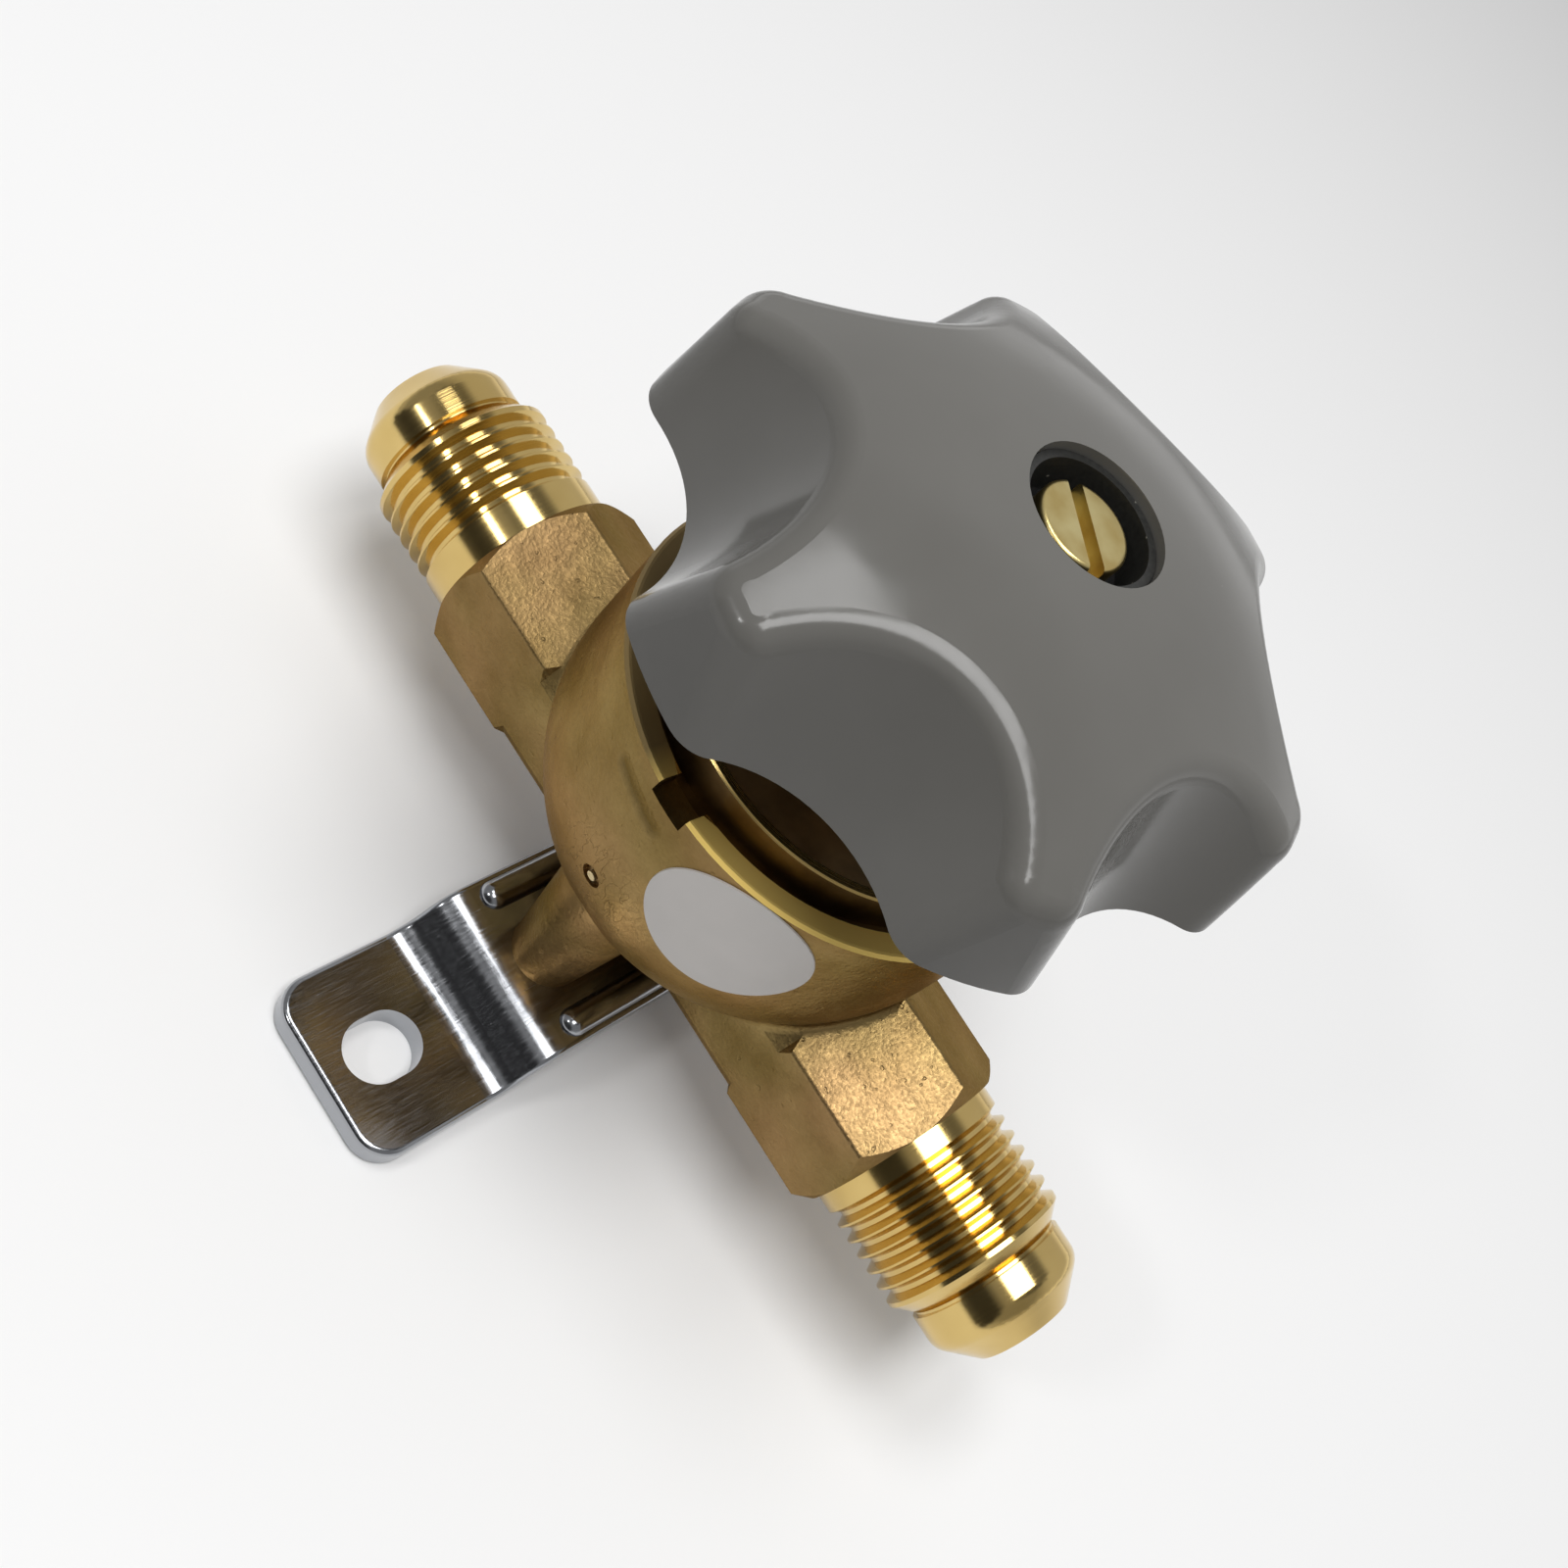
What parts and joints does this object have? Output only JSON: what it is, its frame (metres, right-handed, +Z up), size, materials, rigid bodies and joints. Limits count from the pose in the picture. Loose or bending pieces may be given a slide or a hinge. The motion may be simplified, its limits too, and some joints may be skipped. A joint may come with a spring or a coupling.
{
  "type": "refrigeration diaphragm valve",
  "caption": "Hand-operated refrigeration shut-off valve: forged brass body with flare ends, lobed grey handwheel, steel mounting bracket",
  "frame": {"origin": "in the plane that the bracket stands on, under the stem axis and midway between the flare ends", "axes": "+X along the ports towards the outlet, +Z up the stem, +Y from the front of the valve with the label to its back"},
  "size_m": [0.0914, 0.0652, 0.0657],
  "materials": {
    "forged_brass": "as forged and tumbled on the drum, necks and hexagons, bright turned on the ends and rim",
    "machined_brass": "bright turned",
    "wheel_plastic": "grey moulded, glossy",
    "black_plastic": "black moulded",
    "plated_steel": "bright zinc plated, slightly scratched",
    "dark_steel": "dark oxide",
    "white_plastic": "natural white",
    "spring_steel": "stainless, bright",
    "black_rubber": "moulded",
    "label_metal": "satin foil, bare"
  },
  "bodies": {
    "valve": {"valve_body": "forged_brass", "bonnet": "machined_brass", "slip_ring": "white_plastic", "diaphragm_lower": "spring_steel", "diaphragm_middle": "spring_steel", "diaphragm_upper": "spring_steel", "opening_spring": "spring_steel", "dust_o_ring": "black_rubber", "gland_ring": "machined_brass", "bracket": "plated_steel", "bracket_screws": "plated_steel", "bracket_washers": "plated_steel", "label": "label_metal"},
    "plunger": {"plunger": "machined_brass", "seat_disc": "white_plastic", "disc_screw": "spring_steel"},
    "button": {"thrust_button": "machined_brass"},
    "wheel": {"stem": "machined_brass", "backseat_ring": "white_plastic", "handwheel": "wheel_plastic", "hub_insert": "black_plastic", "wheel_washer": "dark_steel", "wheel_screw": "machined_brass"}
  },
  "joints": [
    {"name": "stem_lift", "type": "slide", "parent": "valve", "child": "button", "axis": [0, 0, 1], "range_m": [-0.00225, 0]},
    {"name": "wheel_turn", "type": "hinge", "parent": "button", "child": "wheel", "pos_m": [0, 0, 0.0567], "axis": [0, 0, 1], "range_deg": [-540, 0]},
    {"name": "plunger_lift", "type": "slide", "parent": "valve", "child": "plunger", "axis": [0, 0, 1], "range_m": [-0.00226, 0], "deforming": ["opening_spring", "diaphragm_lower", "diaphragm_middle", "diaphragm_upper"]}
  ],
  "couplings": [
    {"joint": "wheel_turn", "follows": "stem_lift", "rad_per_m": 4188.8},
    {"joint": "plunger_lift", "follows": "stem_lift", "ratio": 1}
  ]
}
